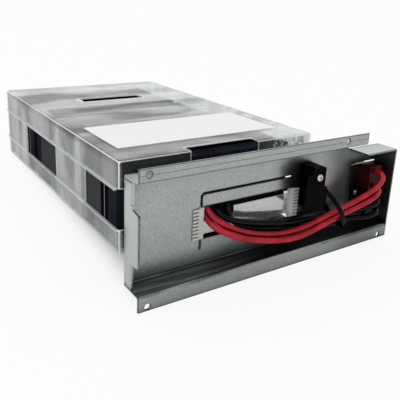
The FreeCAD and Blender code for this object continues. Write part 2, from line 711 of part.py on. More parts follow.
holder = new_body("holder_moulding")
HOLDER_RIGHT = "holder_left + holder_width"
PANEL_FACE = "frame_depth - gauge"
face = sketch_on(holder, "holder_face", "XZ", "holder_front")
outline(face, [
    ("holder_left + foot_taper", "holder_low"),
    (HOLDER_RIGHT, "holder_low"),
    (HOLDER_RIGHT, "holder_high + ear_rise"),
    ("ear_left + 2", "holder_high + ear_rise"),
    ("ear_left", "holder_high"),
    ("holder_left", "holder_high"),
    ("holder_left", "holder_low + holder_width"),
])
pad(holder, face, PANEL_FACE + " - holder_front", True)
eye = sketch_on(holder, "strap_eye", "XZ", "holder_front + 2 * holder_wall")
rectangle(eye, HOLDER_RIGHT, "eye_low", HOLDER_RIGHT + " + eye_reach", "eye_high")
pad(holder, eye, PANEL_FACE + " - holder_front - 4 * holder_wall", True)
round_edges(holder, "holder_corners", "holder_wall", lambda edge: along(edge, 1) and (
    near(edge, 2, "holder_high + ear_rise") or near(edge, 2, "holder_high") or near(edge, 2, "holder_low")
    or near(edge, 2, "eye_high") and not near(edge, 0, HOLDER_RIGHT)
    or near(edge, 2, "eye_low") and not near(edge, 0, HOLDER_RIGHT)))
side = sketch_on(holder, "side_taper", "XY")
outline(side, [
    ("holder_left - 1", "holder_front + holder_wall"),
    ("holder_left + foot_taper", "holder_front + holder_wall"),
    ("holder_left + side_taper", PANEL_FACE + " + 1"),
    ("holder_left - 1", PANEL_FACE + " + 1"),
])
pocket(holder, side)
hollow = sketch_on(holder, "holder_hollow", "XZ", PANEL_FACE)
rectangle(hollow, "holder_left + side_taper + holder_wall", "holder_low + holder_wall",
          HOLDER_RIGHT + " - holder_wall", "holder_screw_z - screw_head")
pocket(holder, hollow, PANEL_FACE + " - holder_front - holder_wall", True)
bore = sketch_on(holder, "holder_bore", "XZ")
hole(bore, "holder_screw_x", "holder_screw_z", "holder_shank + 2 * clearance")
pocket(holder, bore)

# The cable tie is a closed strap that hangs from the eye, leans to the right and holds the leads.
strap_top = FreeCAD.Vector(number(HOLDER_RIGHT + " + eye_reach - strap_gauge"),
                           number("frame_depth - strap_ahead"),
                           number("eye_high - 2 * strap_gauge - 2"))
strap_foot = strap_top + FreeCAD.Vector(number("strap_lean"), number("-strap_lean / 10"),
                                        -number("strap_drop"))
strap_run = (strap_foot - strap_top).normalize()
strap_depth = FreeCAD.Vector(0.2, 3.0, 0.2)
strap_depth = (strap_depth - strap_run * strap_depth.dot(strap_run)).normalize()
strap_centre = (strap_top + strap_foot) / 2


def strap_ring(half_tall, half_across, width):
    """An elliptical disc in the plane of the strap."""
    ellipse = Part.Ellipse(strap_centre + strap_run * half_tall, strap_centre + strap_depth * half_across,
                           strap_centre)
    normal = strap_run.cross(strap_depth)
    solid = Part.Face(Part.Wire([ellipse.toShape()])).extrude(normal * width)
    solid.translate(normal * (-width / 2))
    return solid


half_across = number("strap_across / 2")
half_tall = (strap_foot - strap_top).Length / 2
strap_gauge = number("strap_gauge")
outer_disc = strap_ring(half_tall, half_across, number("strap_width"))
inner_disc = strap_ring(half_tall - strap_gauge, half_across - strap_gauge, number("strap_width + 1"))
strap = outer_disc.cut(inner_disc)
pieces.append(solid_feature("cable_tie", strap))

# The eye is cleared for the strap all round.
play = number("clearance")
slot = strap_ring(half_tall + play, half_across + play, number("strap_width") + 2 * play)
slot = slot.cut(strap_ring(half_tall - strap_gauge - play, half_across - strap_gauge - play, 20))
tool = doc.addObject("Part::Feature", "strap_slot")
tool.Shape = slot
bring_to_origin(tool)
slotted = doc.addObject("Part::Cut", "cable_holder_slotted")
slotted.Base = holder
slotted.Tool = tool
slotted.Label = "cable_holder"
pieces.append(slotted)


def pan_screw(label, x, z, face, shank, length, head, head_height):
    """A pan head screw that points to the back, its head on a face at one depth."""
    base = FreeCAD.Vector(number(x), number(face), number(z))
    back = FreeCAD.Vector(0, 1, 0)
    stem = Part.makeCylinder(number(shank) / 2, number(length), base, back)
    front = base - back * number(head_height)
    cap = Part.makeCylinder(number(head) / 2, number(head_height), front, back)
    rim = [edge for edge in cap.Edges if edge.Closed and abs(edge.CenterOfMass.y - front.y) < 0.001]
    cap = cap.makeFillet(number(head_height) * 0.55, rim)
    arm = number(head) / 2
    recess = Part.makeBox(arm, number(head_height), arm / 4,
                          front - FreeCAD.Vector(arm / 2, arm / 9, arm / 8))
    cross = Part.makeBox(arm / 4, number(head_height), arm, front - FreeCAD.Vector(arm / 8, arm / 9, arm / 2))
    pieces.append(solid_feature(label, stem.fuse(cap).cut(recess).cut(cross)))


pan_screw("holder_screw", "holder_screw_x", "holder_screw_z", "holder_front", "holder_shank",
          "frame_depth - holder_front", "screw_head", "screw_head_height")


# ---- power connectors ----------------------------------------------------------------------
# Two housings side by side in the bay. The leads enter their front, the contacts face the back.

def connector(label, low, has_ear):
    """One housing: a block in front of the panel and a smaller mating nose behind it."""
    body = new_body(label)
    shell = sketch_on(body, "housing", "XZ", "plug_front")
    rectangle(shell, "frame_width - plug_inset", low, "frame_width - plug_inset + plug_width",
              low + " + plug_height")
    pad(body, shell, PANEL_FACE + " - plug_front", True)
    round_edges(body, "housing_edges", "clearance * 4", lambda edge: along(edge, 1))
    if has_ear:
        ear = sketch_on(body, "ear", "XZ", PANEL_FACE + " - ear_gauge")
        rectangle(ear, "frame_width - plug_inset - ear_width", low + " + plug_height - ear_height",
                  "frame_width - plug_inset + 1", low + " + plug_height - 1")
        pad(body, ear, "ear_gauge", True)
        bore = sketch_on(body, "ear_bore", "XZ")
        hole(bore, EAR_X, EAR_Z, "small_screw + 2 * clearance")
        pocket(body, bore)
    nose = sketch_on(body, "nose", "XZ", PANEL_FACE)
    rectangle(nose, NOSE_LEFT, low + " + nose_inset", NOSE_RIGHT, low + " + plug_height - nose_inset")
    pad(body, nose, "gauge + plug_reach", True)
    mouth = sketch_on(body, "mouth", "XZ", "frame_depth + plug_reach")
    rectangle(mouth, NOSE_LEFT + " + plug_wall", low + " + nose_inset + plug_wall",
              NOSE_RIGHT + " - plug_wall", low + " + plug_height - nose_inset - plug_wall")
    pocket(body, mouth, "contact_reach", True)
    pieces.append(body)


connector("black_connector", "plug_low", True)
connector("red_connector", "(" + RED_LOW + ")", False)
pan_screw("connector_screw", EAR_X, EAR_Z, PANEL_FACE + " - ear_gauge", "small_screw",
          "ear_gauge + gauge", "small_screw * 2", "small_screw * 0.6")

# Two copper blades in each mouth, standing on its floor.
blades = []
for low in ("plug_low", "(" + RED_LOW + ")"):
    for share in (1, 3):
        blades.append(block(
            "frame_width - plug_inset + plug_width / 2 - contact_width / 2",
            "frame_depth + plug_reach - contact_reach",
            "%s + nose_inset + plug_wall + (plug_height - 2 * nose_inset - 2 * plug_wall) * %d / 4"
            " - contact_gauge / 2" % (low, share),
            "contact_width", "contact_reach - 1", "contact_gauge"))
pieces.append(solid_feature("connector_contacts", Part.makeCompound(blades)))


# ---- leads ---------------------------------------------------------------------------------

ROUTE_TIE = 215.0
ROUTE_PLUG = 272.0


def beyond_tie(x):
    """Beyond the tie, the points of a route keep their share of the way to the connectors."""
    if x < ROUTE_TIE:
        return x
    reach = number("frame_width - plug_inset") - ROUTE_TIE
    return ROUTE_TIE + (x - ROUTE_TIE) * reach / (ROUTE_PLUG - ROUTE_TIE)


def lead(label, points, diameter):
    """A lead along straight runs joined by tangent arcs; prints its radii and volume."""
    route = [FreeCAD.Vector(beyond_tie(x), y, z) for x, y, z in points]
    runs = [(b - a).Length for a, b in zip(route, route[1:])]
    edges = []
    radii = []
    here = route[0]
    for index in range(1, len(route) - 1):
        before = (route[index] - route[index - 1]).normalize()
        after = (route[index + 1] - route[index]).normalize()
        turn = before.getAngle(after)
        reach = 0.45 * min(runs[index - 1], runs[index])
        radius = reach / math.tan(turn / 2)
        start = route[index] - before * reach
        end = route[index] + after * reach
        inward = (after - before).normalize()
        middle = route[index] + inward * (radius / math.cos(turn / 2) - radius)
        edges.append(Part.LineSegment(here, start).toShape())
        edges.append(Part.Arc(start, middle, end).toShape())
        radii.append(radius)
        here = end
    edges.append(Part.LineSegment(here, route[-1]).toShape())
    path = Part.Wire(edges)
    ring = Part.Wire(Part.makeCircle(diameter / 2, route[0], route[1] - route[0]))
    tube = path.makePipeShell([ring], True, True)
    section_area = math.pi * diameter * diameter / 4
    print("%s: length %.1f, least radius %.1f, volume / (section x length) %.4f"
          % (label, path.Length, min(radii), tube.Volume / (section_area * path.Length)))
    print("   radii " + " ".join("%.0f" % radius for radius in radii))
    pieces.append(solid_feature(label, tube))


LEAD = number("lead_diameter")
PLUG_FACE = number("plug_front")
lead("red_lead_1", [
    (76.2, 30.9, 66.0), (76.2, 30.9, 60.0), (77.6, 30.2, 54.8), (79.4, 26.6, 51.0), (80.2, 22.0, 47.8),
    (82.4, 17.0, 43.6), (88.4, 13.0, 38.6), (98.0, 11.0, 33.0), (117.6, 10.0, 24.0), (141.9, 9.6, 17.6),
    (166.2, 9.0, 15.0), (191.1, 8.0, 17.9), (216.7, 6.6, 25.0), (243.8, 4.4, 31.9), (261.0, 1.6, 38.2),
    (271.0, -0.9, 44.0), (276.6, -2.2, 49.6), (279.4, -2.2, 54.0), (280.4, -0.3, 57.6), (280.8, 3.3, 59.6),
    (280.8, PLUG_FACE, 59.6)], LEAD)
lead("red_lead_2", [
    (70.0, 30.9, 66.0), (70.0, 30.9, 59.0), (72.6, 30.4, 52.0), (77.3, 27.6, 46.0), (78.4, 22.6, 41.8),
    (79.2, 17.0, 38.6), (83.4, 11.0, 35.2), (91.0, 6.6, 31.0), (100.0, 4.8, 26.8), (113.7, 4.0, 21.8),
    (134.8, 3.4, 15.9), (156.1, 3.4, 11.9), (179.2, 3.6, 11.3), (205.5, 3.8, 16.9), (235.2, 3.6, 23.9),
    (254.0, 1.2, 28.4), (265.0, -1.4, 33.0), (272.4, -2.3, 37.2), (276.2, -1.8, 40.0), (279.2, 0.7, 42.2),
    (281.0, 4.4, 43.4), (281.0, PLUG_FACE, 43.4)], LEAD)
lead("black_lead_1", [
    (98.2, 30.9, 66.0), (98.2, 30.9, 60.0), (95.2, 30.2, 54.6), (91.4, 27.4, 51.8), (88.4, 23.6, 49.9),
    (88.4, 20.0, 47.2), (91.6, 17.2, 43.9), (97.6, 15.6, 40.2), (106.0, 15.0, 36.6), (121.2, 15.2, 32.0),
    (135.7, 15.4, 28.4), (164.3, 14.8, 23.0), (189.9, 14.4, 20.6), (211.0, 13.4, 20.6),
    (232.0, 12.0, 20.2), (252.0, 7.2, 21.2), (264.5, 1.0, 24.2), (273.0, -2.1, 27.4), (276.9, -1.4, 29.4),
    (280.0, 1.2, 30.8), (281.4, 5.0, 31.6), (281.4, PLUG_FACE, 31.6)], LEAD)
lead("black_lead_2", [
    (104.4, 30.9, 66.0), (104.4, 30.9, 59.5), (103.8, 30.0, 53.6), (102.4, 26.8, 49.2), (101.4, 23.0, 44.6),
    (102.0, 22.0, 39.8), (107.4, 20.4, 33.6), (115.5, 19.4, 28.6), (124.1, 18.6, 25.4), (138.0, 17.4, 21.4),
    (165.2, 15.6, 16.4), (190.0, 13.2, 14.6), (211.0, 10.8, 15.0), (232.0, 9.6, 14.2), (252.0, 5.8, 13.6),
    (264.5, 1.0, 14.0), (273.0, -2.1, 16.6), (276.9, -1.4, 18.0), (280.0, 1.2, 19.2), (281.4, 5.0, 19.8),
    (281.4, PLUG_FACE, 19.8)], LEAD)


# ---- links between the blocks ----------------------------------------------------------------
# The six blocks are in series. Each has its plus tab at the right as seen from its tabs, and the
# tabs of the second and third rows face each other across a narrow gap.

LINK = number("link_diameter")
lead("link_lead_front", [
    (11.2, 30.9, 66.0), (11.2, 30.9, 50.0), (14.0, 30.9, 38.0), (22.0, 30.8, 32.0), (36.0, 30.6, 30.5),
    (100.0, 30.8, 29.9), (165.0, 30.6, 30.5), (179.0, 31.0, 30.8), (187.0, 34.5, 31.4), (190.0, 44.0, 32.0),
    (190.0, 140.0, 33.0), (190.0, 225.0, 34.0), (189.0, 236.0, 34.5), (184.0, 241.0, 35.0),
    (174.0, 241.5, 35.5), (100.0, 241.5, 36.0), (32.0, 241.5, 37.0), (20.0, 241.2, 39.0),
    (13.5, 240.2, 44.0), (11.4, 239.2, 52.0), (11.2, 238.9, 58.0), (11.2, 238.9, 66.0)], LINK)
lead("link_lead_back", [
    (11.2, 245.4, 66.0), (11.2, 245.4, 57.0), (14.5, 245.3, 50.0), (23.0, 245.0, 47.0), (40.0, 244.5, 46.0),
    (90.0, 244.0, 46.0), (135.0, 244.5, 46.0), (151.0, 245.0, 47.0), (160.0, 245.3, 50.0),
    (163.4, 245.4, 57.0), (163.4, 245.4, 66.0)], LINK)
lead("link_lead_right", [
    (163.4, 30.9, 66.0), (163.4, 30.9, 59.0), (166.5, 30.9, 53.0), (173.0, 31.0, 50.5), (180.0, 31.2, 50.0),
    (187.0, 34.5, 50.0), (190.0, 44.0, 50.0), (190.0, 140.0, 48.0), (190.0, 225.0, 50.0),
    (189.0, 236.0, 50.5), (184.0, 241.5, 51.0), (176.0, 242.0, 52.0), (169.0, 241.0, 54.5),
    (164.6, 239.6, 58.0), (163.4, 238.9, 61.5), (163.4, 238.9, 66.0)], LINK)


# ---- insulated receptacles -------------------------------------------------------------------

def receptacle(label, x, start, reach):
    """An insulated receptacle pushed over facing tabs or one tab, its leads entering from below."""
    body = block(x + " - receptacle_width / 2", start, "receptacle_low", "receptacle_width", reach,
                 "receptacle_height")
    body = body.makeFillet(1.2, [edge for edge in body.Edges if along(edge, 2)])
    slot = block(x + " - tab_width / 2 - clearance", start + " - 1", TAB_LEVEL + " - tab_gauge",
                 "tab_width + 2 * clearance", reach + " + 2", "2 * tab_gauge")
    pieces.append(solid_feature(label, body.cut(slot)))


LEFT_MIDDLE = BLOCK_LEFT + " + block_length / 2"
RIGHT_MIDDLE = BLOCK_LEFT + " + block_length * 3 / 2 + block_gap"
OUTER_LEFT = LEFT_MIDDLE + " - tab_spacing / 2"
INNER_LEFT = LEFT_MIDDLE + " + tab_spacing / 2"
INNER_RIGHT = RIGHT_MIDDLE + " - tab_spacing / 2"
OUTER_RIGHT = RIGHT_MIDDLE + " + tab_spacing / 2"
ONE_TAB = "tab_length - clearance"
SECOND_LID = ROW_START + " + 2 * " + BLOCK_DEEP + " - tab_length"
THIRD_TABS = ROW_START + " + 2 * " + BLOCK_DEEP + " + row_gap"
receptacle("red_receptacle", INNER_LEFT, ROW_START, ONE_TAB)
receptacle("black_receptacle", INNER_RIGHT, ROW_START, ONE_TAB)
receptacle("link_receptacle_1", OUTER_LEFT, ROW_START, ONE_TAB)
receptacle("link_receptacle_2", OUTER_RIGHT, ROW_START, ONE_TAB)
receptacle("link_receptacle_3", OUTER_LEFT, SECOND_LID + " + clearance", ONE_TAB)
receptacle("link_receptacle_4", OUTER_RIGHT, SECOND_LID + " + clearance", ONE_TAB)
receptacle("link_receptacle_5", OUTER_LEFT, THIRD_TABS, ONE_TAB)
receptacle("link_receptacle_6", OUTER_RIGHT, THIRD_TABS, ONE_TAB)
BOTH_TABS = "2 * tab_length + row_gap - 2 * clearance"
receptacle("bridge_left", INNER_LEFT, SECOND_LID + " + clearance", BOTH_TABS)
receptacle("bridge_right", INNER_RIGHT, SECOND_LID + " + clearance", BOTH_TABS)


# ---- checks and export ---------------------------------------------------------------------

doc.recompute()
for thing in doc.Objects:
    if "Invalid" in thing.State or "Error" in thing.State:
        raise RuntimeError("%s did not compute: %s" % (thing.Label, thing.State))
for piece in pieces:
    if piece.Shape.isNull() or not piece.Shape.isValid():
        raise RuntimeError("%s has no valid shape" % piece.Label)
os.makedirs("parts", exist_ok=True)
for piece in pieces:
    piece.Shape.exportStep("parts/%s.step" % piece.Label)
print("%d pieces written" % len(pieces))
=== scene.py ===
"""Battery cartridge of an uninterruptible power supply, dressed round its CAD frame.

A folded galvanised front carries six black blocks between two clear thermoformed half shells.
Two red and two black leads pass through a window in the front to a pair of power connectors.
Lengths here are metres in the row frame. The leads' routes are given in millimetres from the
left end of the frame, the flange's front face and the top of the lower ledge, as in the source.
"""
import bpy
import json
import math
from mathutils import Matrix, Vector


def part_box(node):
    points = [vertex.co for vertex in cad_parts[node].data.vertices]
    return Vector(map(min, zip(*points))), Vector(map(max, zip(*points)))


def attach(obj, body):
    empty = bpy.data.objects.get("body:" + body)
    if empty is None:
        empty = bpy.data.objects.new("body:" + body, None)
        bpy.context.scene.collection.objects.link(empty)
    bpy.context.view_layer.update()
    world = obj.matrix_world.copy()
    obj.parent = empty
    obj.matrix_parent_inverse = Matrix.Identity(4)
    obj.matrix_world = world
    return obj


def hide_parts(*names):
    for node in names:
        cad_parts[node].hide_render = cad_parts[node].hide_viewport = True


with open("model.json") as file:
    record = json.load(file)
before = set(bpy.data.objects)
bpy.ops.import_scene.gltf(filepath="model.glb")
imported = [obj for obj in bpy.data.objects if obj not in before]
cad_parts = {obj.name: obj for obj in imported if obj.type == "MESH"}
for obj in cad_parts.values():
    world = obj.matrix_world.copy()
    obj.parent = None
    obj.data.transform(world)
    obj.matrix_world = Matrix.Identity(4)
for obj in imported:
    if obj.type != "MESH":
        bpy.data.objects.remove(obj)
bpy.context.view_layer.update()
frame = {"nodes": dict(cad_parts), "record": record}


# ---- folded front frame --------------------------------------------------------------------
# One galvanised steel sheet, cut and then folded to a panel, two ledges, two screw flanges and the
# box of the connector bay. Four screws hold it in the cabinet, and it carries the leads and pack.

MM = 0.001
FRAME_END = -147.75 * MM
LEDGE_TOP = 10.4 * MM
TOP_FOLD = (LEDGE_TOP + 99.6 * MM, LEDGE_TOP + 100.3 * MM)
nodes = frame["nodes"]
# Most of a noise texture lies between these values, and nearly all of it between the wider two.
MIDDLE = (0.35, 0.65)
WIDE = (0.3, 0.7)


def colour(code):
    """A hexadecimal sRGB colour as linear numbers."""
    parts = [int(code[i:i + 2], 16) / 255 for i in (0, 2, 4)]
    return [p / 12.92 if p <= 0.04045 else ((p + 0.055) / 1.055) ** 2.4 for p in parts] + [1.0]


def connect(tree, node, **settings):
    """A node's properties and inputs are set, and an input given a node or a socket is linked to it.

    A node stands for its first output in use. i0, i1 and so on name an input by its number.
    """
    for name, value in settings.items():
        if hasattr(node, name):
            setattr(node, name, value)
            continue
        socket = node.inputs[int(name[1:]) if name[1:].isdigit() else name.replace("_", " ")]
        if isinstance(value, bpy.types.Node):
            value = next(output for output in value.outputs if output.enabled)
        if isinstance(value, bpy.types.NodeSocket):
            tree.links.new(value, socket)
        else:
            socket.default_value = value
    return node


def add(tree, kind, **settings):
    """A new node with its settings and links."""
    return connect(tree, tree.nodes.new("ShaderNode" + kind), **settings)


def span(low, high, out_low=0.0, out_high=1.0):
    """The settings that carry a value smoothly from one range to another."""
    return {"interpolation_type": "SMOOTHSTEP", "From_Min": low, "From_Max": high,
            "To_Min": out_low, "To_Max": out_high}


def joined(tree, operation, *values):
    """Several numbers put together by one operation, two at a time."""
    total = values[0]
    for value in values[1:]:
        total = add(tree, "Math", operation=operation, i0=total, i1=value)
    return total


def region(tree, spot, **limits):
    """1 inside the limits given for each axis, and 0 outside them."""
    inside = [add(tree, "Math", operation="COMPARE", i0=spot[axis], i1=(low + high) / 2, i2=(high - low) / 2)
              for axis, (low, high) in limits.items()]
    return joined(tree, "MULTIPLY", *inside)


def past(tree, spot, *steps):
    """0 before and 1 beyond soft steps, each given by its axis and where it starts and ends."""
    shares = [add(tree, "MapRange", Value=spot[axis], **span(start, end)) for axis, start, end in steps]
    return joined(tree, "MULTIPLY", *shares)


def layered(tree, tone, *layers):
    """A colour with others laid over it in turn, each by its share."""
    for share, code in layers:
        tone = add(tree, "Mix", data_type="RGBA", i0=share, i6=tone, i7=colour(code))
    return tone


def edge_share(tree, radius):
    """1 along a sharp edge and 0 away from it, by how far a rounded normal leaves the true one."""
    eased = add(tree, "Bevel", samples=6, Radius=radius)
    plain = add(tree, "NewGeometry").outputs["Normal"]
    agreement = add(tree, "VectorMath", operation="DOT_PRODUCT", i0=eased, i1=plain)
    return add(tree, "MapRange", Value=agreement, **span(0.985, 0.86))


def new_material(name):
    """A new material, its tree and its principled shader."""
    made = bpy.data.materials.new(name)
    made.use_nodes = True
    return made, made.node_tree, made.node_tree.nodes["Principled BSDF"]


def wear(material, *names):
    """Some CAD nodes get a material."""
    for name in names:
        nodes[name].material_slots[0].material = material


# Hot-dip galvanised steel: the zinc froze to a fine spangle, which glitters a little, and rolling
# left upright streaks. A painted reflection darkens the ledge top in streaks; cut edges are bare and dull.
# Spangle is about 1.4 mm and grain 1.1 mm across, drawn coarser than on fine sheet, to show.
galvanised, tree, shader = new_material("galvanised_steel")
place = add(tree, "TexCoord").outputs["Object"]
spot = add(tree, "SeparateXYZ", Vector=place).outputs
spangle = add(tree, "TexVoronoi", Vector=place, Scale=0.7 / MM, Randomness=1.0)
spark = add(tree, "SeparateColor", Color=spangle.outputs["Color"])
grain = add(tree, "TexNoise", Vector=place, Scale=0.9 / MM, Detail=4.0, Roughness=0.8)
streak_place = add(tree, "Mapping", Vector=place, Scale=(0.9 / MM, 0.9 / MM, 0.5 / MM))
streaks = add(tree, "TexNoise", Vector=streak_place, Scale=1.0, Detail=4.0)
cloud = add(tree, "TexNoise", Vector=place, Scale=0.024 / MM, Detail=3.0)
ledge_sheen_place = add(tree, "Mapping", Vector=place, Scale=(0.014 / MM, 0.26 / MM, 0.014 / MM))
ledge_sheen_noise = add(tree, "TexNoise", Vector=ledge_sheen_place, Scale=1.0, Detail=3.0)

grainy = add(tree, "MapRange", Value=grain, **span(*MIDDLE, 0.0, 0.55))
streaked = add(tree, "MapRange", Value=streaks, **span(0.42, 0.6, 0.0, 0.22))
fold_line = region(tree, spot, Z=TOP_FOLD, Y=(-1.0 * MM, 1.0 * MM))
# Painted shade: ambient occlusion darkens the steel near folds and, more softly, in hollows.
near_fold = add(tree, "AmbientOcclusion", samples=8, Distance=8 * MM).outputs["AO"]
in_hollow = add(tree, "AmbientOcclusion", samples=8, Distance=45 * MM).outputs["AO"]
fold_shade = add(tree, "MapRange", Value=near_fold, **span(0.95, 0.25))
hollow_shade = add(tree, "MapRange", Value=in_hollow, **span(0.8, 0.15))
on_ledge = past(tree, spot, ("Z", LEDGE_TOP + 3 * MM, LEDGE_TOP + 1 * MM),
                ("Z", LEDGE_TOP - 3 * MM, LEDGE_TOP - 2 * MM))
ledge_sheen_share = add(tree, "MapRange", Value=ledge_sheen_noise, **span(0.42, 0.6, 0.1, 0.75))

# Painted shade darkens the panel and its ledge towards the bay, and a painted highlight makes the outer
# strip paler.
towards_bay = add(tree, "MapRange", Value=spot["X"], **span(58 * MM, 100 * MM, 0.0, 0.7))
low_part = add(tree, "MapRange", Value=spot["Z"], **span(LEDGE_TOP + 4 * MM, LEDGE_TOP + 2 * MM, 0.0, 0.6))
on_panel = past(tree, spot, ("Y", 22 * MM, 23 * MM))
bay_painted_shade = joined(tree, "MULTIPLY", towards_bay, joined(tree, "MAXIMUM", on_panel, low_part))
at_end = add(tree, "MapRange", Value=spot["X"], **span(FRAME_END + 8.5 * MM, FRAME_END + 7.5 * MM, 0.0, 0.6))
behind_flange = past(tree, spot, ("Z", LEDGE_TOP + 1 * MM, LEDGE_TOP + 2 * MM), ("Y", 1.4 * MM, 2.4 * MM))
# The near-black along sharp edges is partly the dull bare cut edge and partly painted shade, along the edges
# and in inner corners.
tone = layered(tree, colour("A4A9A7"), (spark, "B8BDBB"), (grainy, "8A8F8D"), (streaked, "C6CBC9"),
               (edge_share(tree, 2.2 * MM), "202222"),
               (joined(tree, "MULTIPLY", fold_line, 0.5), "3A3D3C"),
               (fold_shade, "3A3E3D"), (hollow_shade, "585C5B"),
               (joined(tree, "MULTIPLY", on_ledge, ledge_sheen_share), "3C4145"), (bay_painted_shade, "4A4C4B"),
               (joined(tree, "MULTIPLY", at_end, behind_flange), "D4D8D6"))
connect(tree, shader, Base_Color=tone, Metallic=1.0,
        Roughness=add(tree, "MapRange", Value=cloud, **span(*MIDDLE, 0.28, 0.38)),
        Normal=add(tree, "Bump", Height=grain, Strength=0.12, Distance=0.2 * MM))
wear(galvanised, "front_frame")


# ---- window edge strips --------------------------------------------------------------------
# Two serrated nylon strips, moulded, and pushed on the cut edges at the window's sides so that
# the leads don't chafe there.

# Natural nylon: an off-white that lets some light in, so that its thin teeth look soft.
nylon, tree, shader = new_material("white_nylon")
place = add(tree, "TexCoord").outputs["Object"]
haze = add(tree, "TexNoise", Vector=place, Scale=0.3 / MM, Detail=2.0)
connect(tree, shader, Base_Color=layered(tree, colour("B8B8B4"), (haze, "D4D4D0")), Roughness=0.42,
        Subsurface_Weight=0.15, Subsurface_Scale=1.0 * MM)
wear(nylon, "grommet_left", "grommet_right")


# ---- battery blocks --------------------------------------------------------------------------
# Six sealed lead-acid blocks, each a moulded ABS case with a lid welded on. They lie in the lower
# shell in two columns of three, and their long sides show through the shell's windows.

BLOCKS = range(1, 7)
FLUTE_PITCH = 9.0 * MM
PLAIN_PANELS = ((64 * MM, 104 * MM), (166 * MM, 224 * MM))


def moulding(name, dull, bright, gloss, texture=0.9 / MM, shine=0.08):
    """Injection-moulded plastic: even, with the fine matt texture of a spark-eroded mould.

    Its edges get a painted highlight, a lighter grey along them.
    """
    made, tree, shader = new_material(name)
    place = add(tree, "TexCoord").outputs["Object"]
    fine = add(tree, "TexNoise", Vector=place, Scale=texture, Detail=3.0)
    patches = add(tree, "TexNoise", Vector=place, Scale=0.045 / MM, Detail=2.0)
    patchy = add(tree, "MapRange", Value=patches, **span(*MIDDLE))
    edges = joined(tree, "MULTIPLY", edge_share(tree, 0.6 * MM), 0.5)
    connect(tree, shader, Base_Color=layered(tree, colour(dull), (patchy, bright), (edges, "4A4C50")),
            Roughness=add(tree, "MapRange", Value=patches, **span(*WIDE, gloss, gloss + 0.08)),
            Normal=add(tree, "Bump", Height=fine, Strength=0.15, Distance=0.15 * MM),
            Specular_IOR_Level=shine)
    return made


# Black ABS. The long sides have plain panels painted a grey sheen, and between them painted highlights, thin
# bright crests.
block_abs = moulding("black_abs", "050506", "0B0C0D", 0.30, 0.5 / MM, 0.0)
tree = block_abs.node_tree
shader = tree.nodes["Principled BSDF"]
spot = add(tree, "SeparateXYZ", Vector=add(tree, "TexCoord").outputs["Object"]).outputs
normal = add(tree, "SeparateXYZ", Vector=add(tree, "NewGeometry").outputs["True Normal"]).outputs
on_side = region(tree, normal, X=(-1.1, -0.9))
along = joined(tree, "MULTIPLY", spot["Y"], 2 * math.pi / FLUTE_PITCH)
wave = add(tree, "Math", operation="SINE", i0=along)
rib_highlights = joined(tree, "MULTIPLY", on_side, add(tree, "MapRange", Value=wave, **span(0.9, 0.99)))
panel_sheen = joined(tree, "MAXIMUM", *[region(tree, spot, Y=limits) for limits in PLAIN_PANELS])
connect(tree, shader, Base_Color=layered(
    tree, shader.inputs["Base Color"].links[0].from_socket, (rib_highlights, "84868A"),
    (joined(tree, "MULTIPLY", on_side, panel_sheen), "3A3B3D")))
lid_abs = moulding("black_abs_lid", "1A1B20", "22232A", 0.5, 0.7 / MM, 0.0)
for number in BLOCKS:
    wear(block_abs, "battery_%d_case" % number)
    wear(lid_abs, "battery_%d_lid" % number)


# ---- tabs and receptacles --------------------------------------------------------------------
# Each block has two pressed tabs on its lid. A moulded receptacle or a bridge is pushed on each,
# black on one pole and red on the other.

def plated(name, dull, bright, gloss):
    """Plated metal: bright, and slightly uneven where the plating follows the turned grain."""
    made, tree, shader = new_material(name)
    place = add(tree, "TexCoord").outputs["Object"]
    grain = add(tree, "TexNoise", Vector=place, Scale=0.7 / MM, Detail=2.0)
    connect(tree, shader, Base_Color=layered(tree, colour(dull), (grain, bright)), Metallic=1.0,
            Roughness=add(tree, "MapRange", Value=grain, **span(*WIDE, gloss, gloss + 0.1)))
    return made


wear(plated("tinned_brass", "B9B9B2", "D4D3CC", 0.28), *["battery_%d_terminals" % n for n in BLOCKS])
black_polycarbonate = moulding("black_polycarbonate", "030304", "08090A", 0.28)
wear(black_polycarbonate, "black_receptacle", "bridge_left", "bridge_right")
wear(black_polycarbonate, "link_receptacle_1", "link_receptacle_4", "link_receptacle_5")
red_polyamide = moulding("red_polyamide", "B01522", "C01A28", 0.30)
wear(red_polyamide, "red_receptacle", "link_receptacle_2", "link_receptacle_3", "link_receptacle_6")


# ---- output leads --------------------------------------------------------------------------
# Two red and two black stranded leads, each one smooth line from its receptacle on the first row
# of blocks, out through the window, down and along under the cable holder, and into its connector.

LEAD = 5.7 * MM
scene = bpy.context.scene


def insulation(name, shadow, dull, bright, gloss, shine):
    """Extruded PVC: an even colour with a soft sheen along the lead, and painted shade where leads touch."""
    made, tree, shader = new_material(name)
    place = add(tree, "TexCoord").outputs["Object"]
    drift = add(tree, "TexNoise", Vector=place, Scale=0.06 / MM, Detail=3.0)
    skin = add(tree, "TexNoise", Vector=place, Scale=1.8 / MM, Detail=2.0)
    drifting = add(tree, "MapRange", Value=drift, **span(*MIDDLE))
    open_share = add(tree, "AmbientOcclusion", samples=8, Distance=6 * MM).outputs["AO"]
    crevice = add(tree, "MapRange", Value=open_share, **span(0.85, 0.2))
    connect(tree, shader, Base_Color=layered(tree, colour(dull), (drifting, bright), (crevice, shadow)),
            Roughness=add(tree, "MapRange", Value=drift, **span(*WIDE, gloss, gloss + 0.1)),
            Normal=add(tree, "Bump", Height=skin, Strength=0.1, Distance=0.1 * MM),
            Specular_IOR_Level=shine)
    return made


